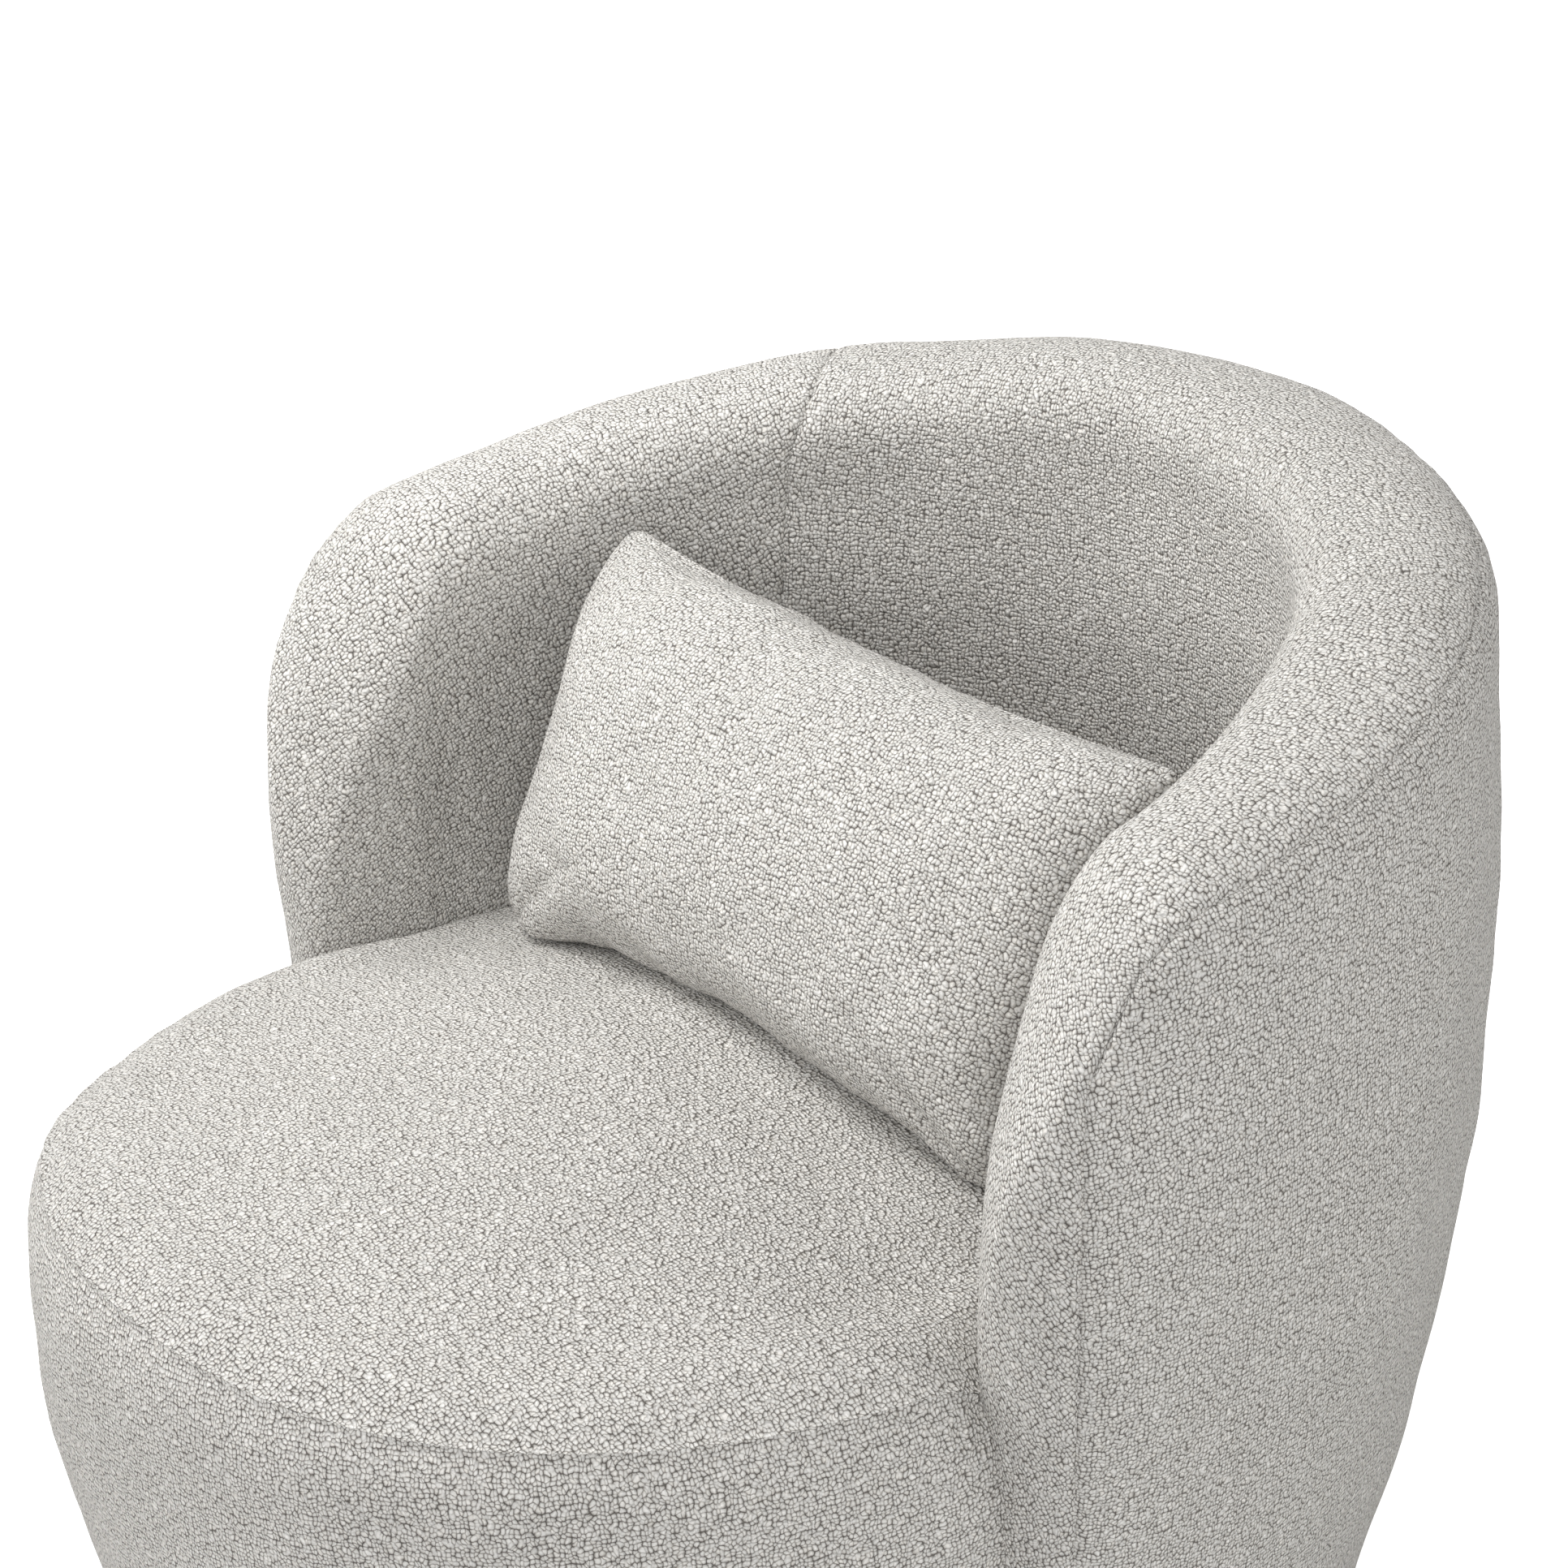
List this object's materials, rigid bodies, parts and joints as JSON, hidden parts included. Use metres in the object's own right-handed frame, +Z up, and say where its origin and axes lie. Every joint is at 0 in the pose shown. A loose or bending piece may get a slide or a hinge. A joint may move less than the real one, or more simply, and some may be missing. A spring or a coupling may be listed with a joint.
{
  "type": "tub chair",
  "caption": "Upholstered tub chair with a boucle shell that sweeps from a high back into rounded arms, a tight crowned seat, a loose lumbar cushion and a concealed swivel plinth.",
  "frame": {"origin": "on the floor on the swivel axis, midway between the front of the seat and the back of the tub", "axes": "+X to the sitter's left, -Y to the front of the chair, +Z up"},
  "size_m": [0.7794, 0.8536, 0.754],
  "materials": {
    "boucle": "boucle",
    "foam": "matt",
    "fibre_fill": "matt",
    "lining": "matt",
    "timber": "raw plywood",
    "fibreboard": "raw",
    "swivel_steel": "satin",
    "hardware_steel": "zinc plated",
    "spring_steel": "oiled",
    "plinth_black": "satin",
    "glide_plastic": "matt",
    "cage_plastic": "matt"
  },
  "bodies": {
    "base": {"glides": "glide_plastic", "plinth": "plinth_black", "lower_swivel_plate": "swivel_steel", "lower_plate_screws": "hardware_steel", "ball_cage": "cage_plastic", "bearing_balls": "hardware_steel", "swivel_pin": "hardware_steel"},
    "chair": {"upper_swivel_plate": "swivel_steel", "plate_bolts": "hardware_steel", "tee_nuts": "hardware_steel", "base_board": "timber", "dust_cover": "lining", "lower_posts": "timber", "front_board": "timber", "seat_frame": "timber", "rib_back": "timber", "rib_rear_left": "timber", "rib_rear_right": "timber", "rib_corner_left": "timber", "rib_corner_right": "timber", "rib_side_left": "timber", "rib_side_right": "timber", "rib_arm_left": "timber", "rib_arm_right": "timber", "top_rail": "timber", "back_webbing": "lining", "outer_board_back": "fibreboard", "outer_board_left": "fibreboard", "outer_board_right": "fibreboard", "seat_springs": "spring_steel", "spring_clips": "hardware_steel", "spring_felt": "lining", "seat_foam": "foam", "seat_wrap": "fibre_fill", "seat_cover": "boucle", "front_pad": "foam", "front_cover": "boucle", "inside_back_pad": "foam", "inside_arm_pad_left": "foam", "inside_arm_pad_right": "foam", "outside_back_pad": "foam", "outside_arm_pad_left": "foam", "outside_arm_pad_right": "foam", "inside_back_cover": "boucle", "inside_arm_cover_left": "boucle", "inside_arm_cover_right": "boucle", "outside_back_cover": "boucle", "outside_arm_cover_left": "boucle", "outside_arm_cover_right": "boucle"},
    "lumbar": {"lumbar_front_cover": "boucle", "lumbar_back_cover": "boucle", "lumbar_fill": "fibre_fill"}
  },
  "joints": [
    {"name": "swivel", "type": "hinge", "parent": "base", "child": "chair", "pos_m": [0, 0, 0], "axis": [0, 0, 1], "continuous": true},
    {"name": "cushion_lift", "type": "slide", "parent": "chair", "child": "lumbar", "axis": [0, -0.5, 0.866], "range_m": [0, 0.45]}
  ]
}
